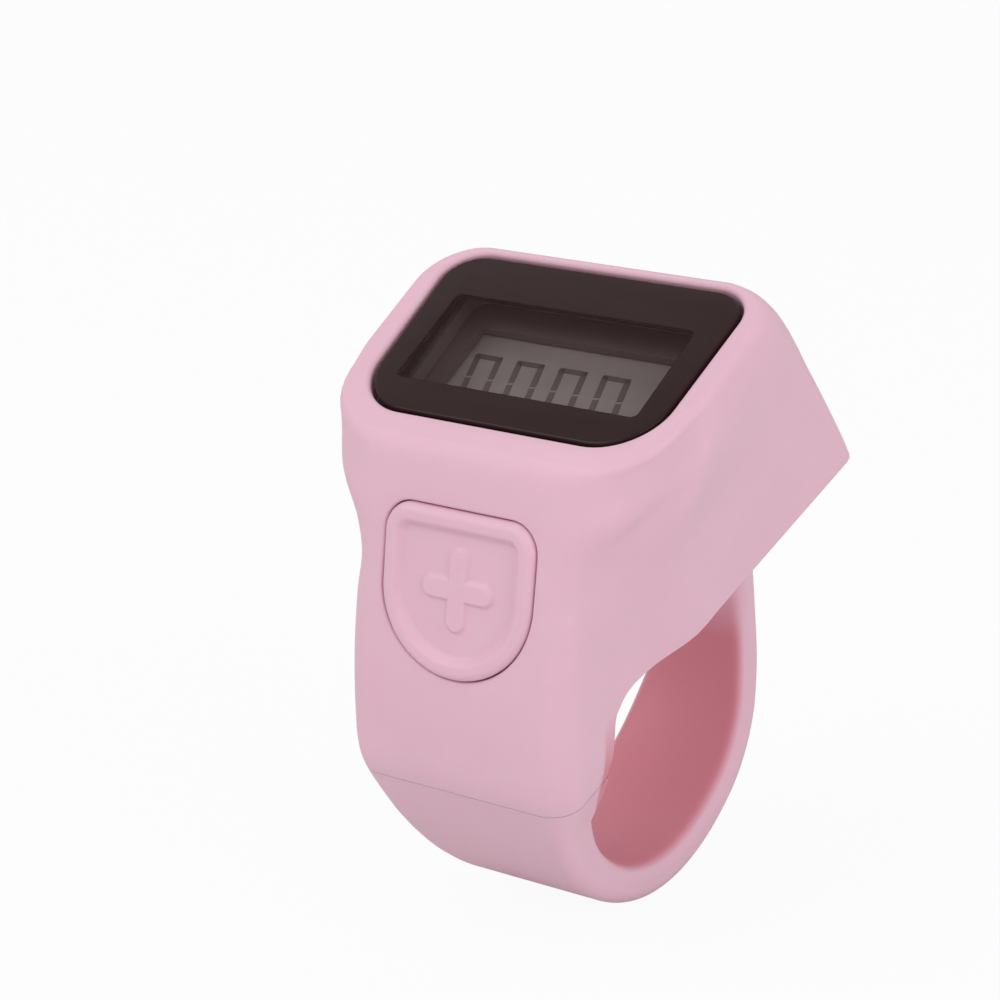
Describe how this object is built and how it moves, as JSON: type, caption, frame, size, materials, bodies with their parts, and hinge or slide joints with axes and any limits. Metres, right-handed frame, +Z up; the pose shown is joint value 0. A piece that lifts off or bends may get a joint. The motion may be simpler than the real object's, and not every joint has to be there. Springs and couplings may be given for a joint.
{
  "type": "digital finger tally counter",
  "caption": "Finger-ring tally counter: a ring that carries a tilted display head with a smoked window, and one count button on its front.",
  "frame": {"origin": "on the axis of the finger bore, halfway along it", "axes": "+X along the finger bore, -Y towards the front with the count button, +Z up; the display head is tilted 29.5 degrees about X towards the front"},
  "size_m": [0.023, 0.0285, 0.0363],
  "materials": {
    "pink_plastic": "pale pink moulded plastic, satin",
    "smoked_window": "smoked, polished",
    "black_plastic": "moulded, matte",
    "display_glass": "display glass",
    "reflector_film": "grey reflecting film",
    "zebra_rubber": "layered contact rubber",
    "circuit_board": "green solder resist",
    "black_resin": "black resin",
    "bright_steel": "nickel plated",
    "ceramic_chip": "matte",
    "amber_film": "amber film",
    "adhesive_tape": "black adhesive ring"
  },
  "bodies": {
    "case": {"housing": "pink_plastic", "ring_band": "pink_plastic", "window_lens": "smoked_window", "lens_tape": "adhesive_tape", "display_frame": "black_plastic", "display_front_film": "smoked_window", "display_front_glass": "display_glass", "display_rear_glass": "display_glass", "display_reflector": "reflector_film", "zebra_connector": "zebra_rubber", "main_board": "circuit_board", "controller_blob": "black_resin", "crystal_can": "bright_steel", "capacitor_1": "ceramic_chip", "capacitor_2": "ceramic_chip", "capacitor_3": "ceramic_chip", "resistor_1": "black_resin", "resistor_2": "black_resin", "button_cell": "bright_steel", "contact_positive": "bright_steel", "contact_negative": "bright_steel", "plate_screw_1": "bright_steel", "plate_screw_2": "bright_steel", "plate_screw_3": "bright_steel", "plate_screw_4": "bright_steel", "switch_board": "circuit_board", "switch_body": "bright_steel", "flex_link": "amber_film"},
    "battery_door": {"battery_door": "pink_plastic"},
    "button": {"count_button": "pink_plastic", "switch_plunger": "black_plastic"}
  },
  "joints": [
    {"name": "count_press", "type": "slide", "parent": "case", "child": "button", "axis": [0, 1, 0], "range_m": [0, 0.0004], "stiffness_N_per_m": 800, "springref_m": -0.0008},
    {"name": "battery_door_turn", "type": "hinge", "parent": "case", "child": "battery_door", "pos_m": [0, -0.00116, 0.00693], "axis": [0, -0.4924, 0.8704], "range_deg": [0, 60]}
  ]
}
